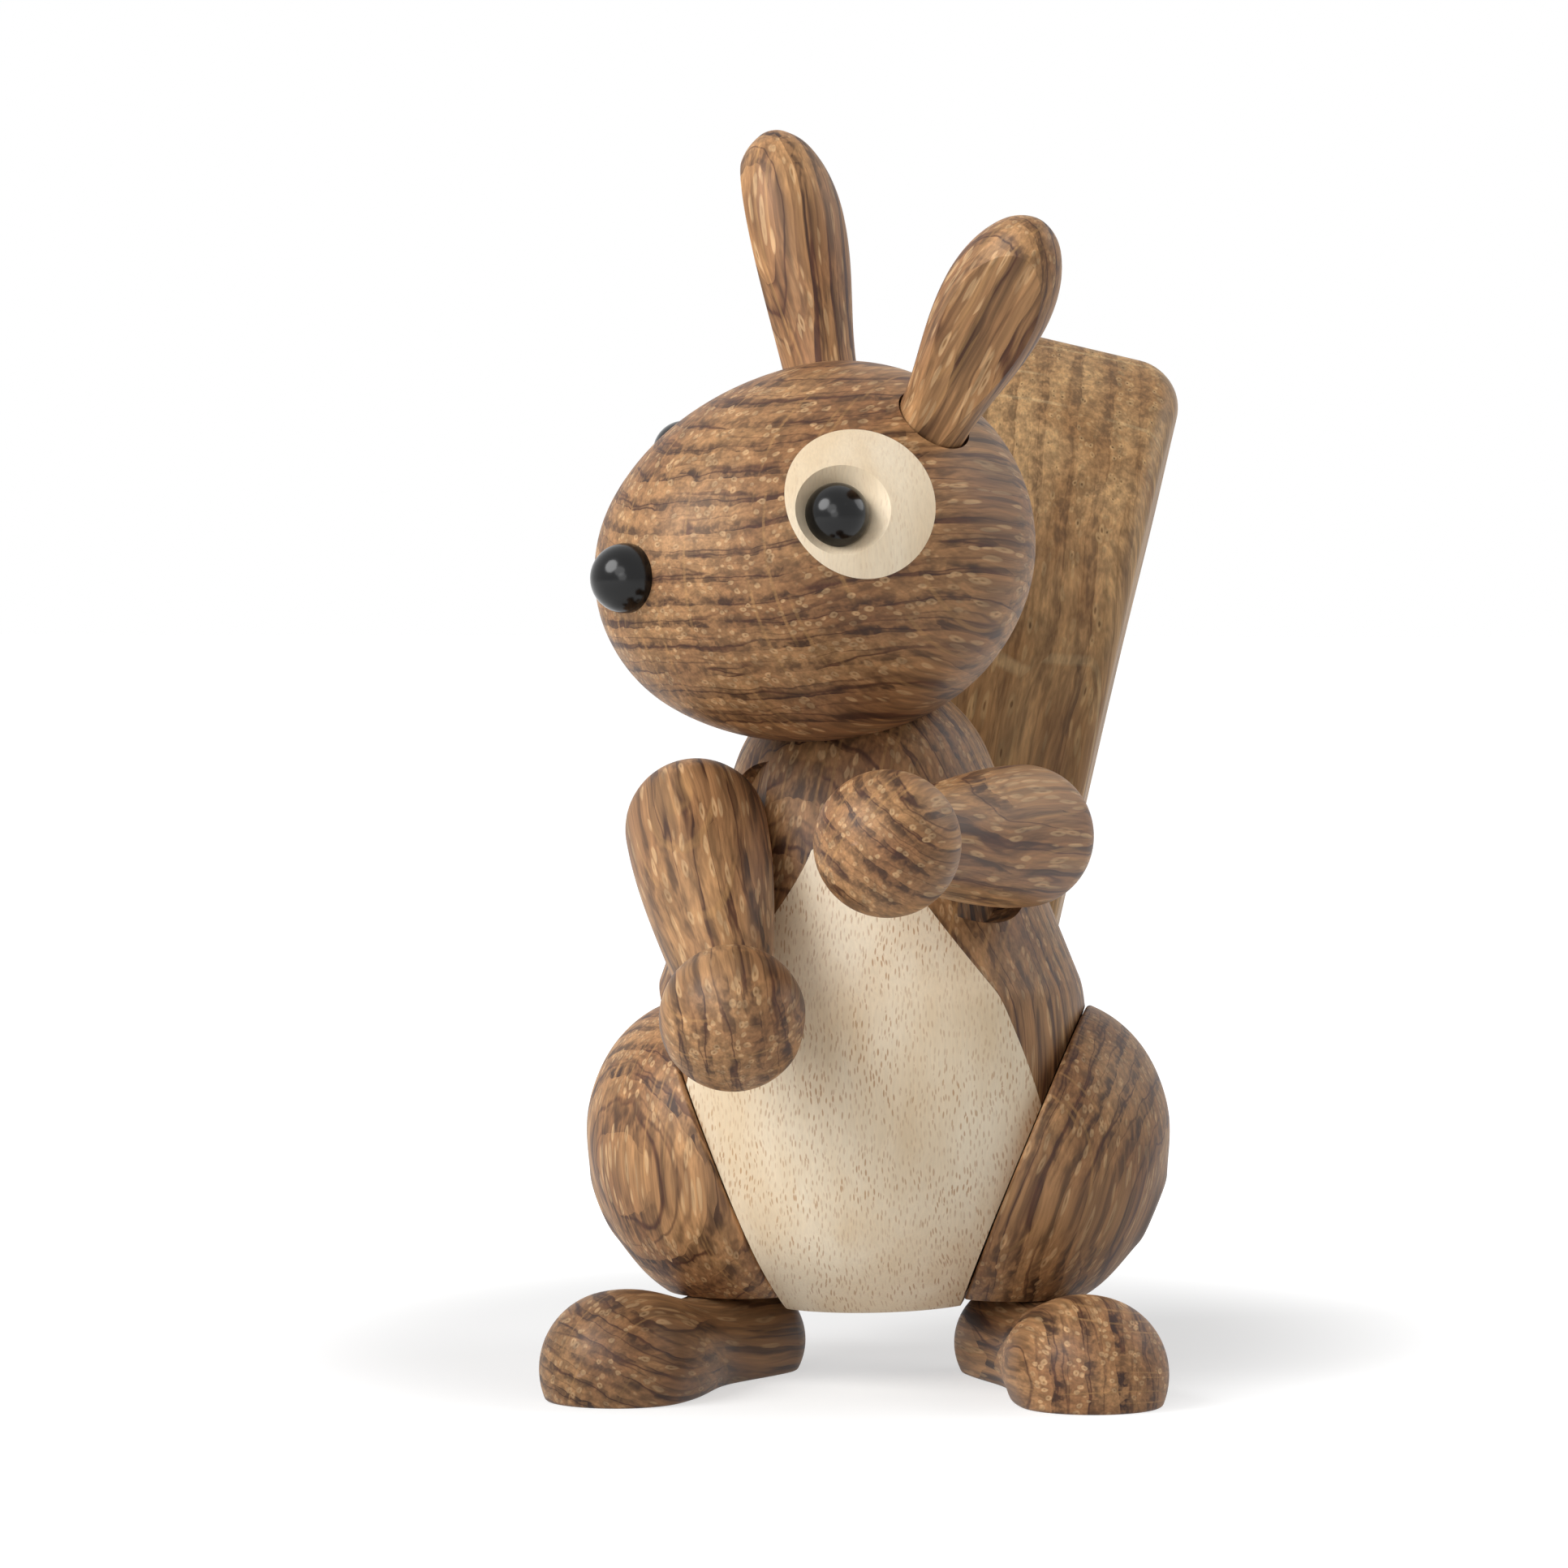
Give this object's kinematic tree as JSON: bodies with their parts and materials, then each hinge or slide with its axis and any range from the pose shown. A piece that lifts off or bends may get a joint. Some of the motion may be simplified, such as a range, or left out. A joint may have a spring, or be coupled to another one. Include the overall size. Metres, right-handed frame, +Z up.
{
  "type": "jointed wooden animal figurine",
  "caption": "Turned wooden squirrel that stands on its feet, with a turning head, swinging arms and tail, and haunches and feet that turn on dowels.",
  "frame": {"origin": "on the floor, under the middle of the figure's bounding box", "axes": "+Z up, the longest way; the body faces -Y; the figure's own left is +X"},
  "size_m": [0.0598, 0.0984, 0.121],
  "materials": {
    "smoked_oak": "turned, sanded and lightly oiled",
    "light_oak": "sawn, sanded and lightly oiled",
    "maple": "turned and finely sanded",
    "black_bead": "polished",
    "beech": "plain rod",
    "rubber_ring": "plain"
  },
  "bodies": {
    "torso": {"torso": "smoked_oak", "belly_inlay": "maple", "neck_dowel": "beech", "neck_friction_ring": "rubber_ring", "tail_dowel": "beech", "tail_friction_ring": "rubber_ring", "left_shoulder_dowel": "beech", "left_shoulder_friction_ring": "rubber_ring", "left_hip_dowel": "beech", "left_hip_friction_ring": "rubber_ring", "right_shoulder_dowel": "beech", "right_shoulder_friction_ring": "rubber_ring", "right_hip_dowel": "beech", "right_hip_friction_ring": "rubber_ring"},
    "head": {"head": "smoked_oak", "nose_bead": "black_bead", "left_eye_ring": "maple", "right_eye_ring": "maple", "left_eye_bead": "black_bead", "right_eye_bead": "black_bead", "left_ear": "smoked_oak", "right_ear": "smoked_oak"},
    "left_arm": {"left_arm": "smoked_oak"},
    "right_arm": {"right_arm": "smoked_oak"},
    "tail": {"tail": "light_oak"},
    "left_haunch": {"left_haunch": "smoked_oak", "left_ankle_dowel": "beech", "left_ankle_friction_ring": "rubber_ring"},
    "right_haunch": {"right_haunch": "smoked_oak", "right_ankle_dowel": "beech", "right_ankle_friction_ring": "rubber_ring"},
    "left_foot": {"left_foot": "smoked_oak"},
    "right_foot": {"right_foot": "smoked_oak"}
  },
  "joints": [
    {"name": "head_turn", "type": "hinge", "parent": "torso", "child": "head", "pos_m": [-0.00073, -0.00156, 0.05558], "axis": [-0.0232, -0.3156, 0.9486], "continuous": true},
    {"name": "left_arm_swing", "type": "hinge", "parent": "torso", "child": "left_arm", "pos_m": [0.01543, -0.01436, 0.05325], "axis": [-0.9219, 0.3492, -0.1678], "range_deg": [-38, 30]},
    {"name": "right_arm_swing", "type": "hinge", "parent": "torso", "child": "right_arm", "pos_m": [-0.01577, -0.01436, 0.05375], "axis": [-0.9162, -0.3492, 0.1967], "range_deg": [-7, 17]},
    {"name": "tail_swing", "type": "hinge", "parent": "torso", "child": "tail", "pos_m": [0.00009, 0.01874, 0.02199], "axis": [0, 1, 0], "range_deg": [-32, 6]},
    {"name": "left_hip_tilt", "type": "hinge", "parent": "torso", "child": "left_haunch", "pos_m": [0.01483, -0.00156, 0.0216], "axis": [-0.9259, 0, 0.3778], "range_deg": [-10, 10]},
    {"name": "right_hip_tilt", "type": "hinge", "parent": "torso", "child": "right_haunch", "pos_m": [-0.01357, -0.00156, 0.0216], "axis": [-0.9259, 0, -0.3778], "range_deg": [-10, 10]},
    {"name": "left_foot_turn", "type": "hinge", "parent": "left_haunch", "child": "left_foot", "pos_m": [0.01393, 0.00084, 0], "axis": [0, 0, 1], "range_deg": [-19, 25]},
    {"name": "right_foot_turn", "type": "hinge", "parent": "right_haunch", "child": "right_foot", "pos_m": [-0.01267, 0.00084, 0], "axis": [0, 0, -1], "range_deg": [-22, 22]}
  ]
}
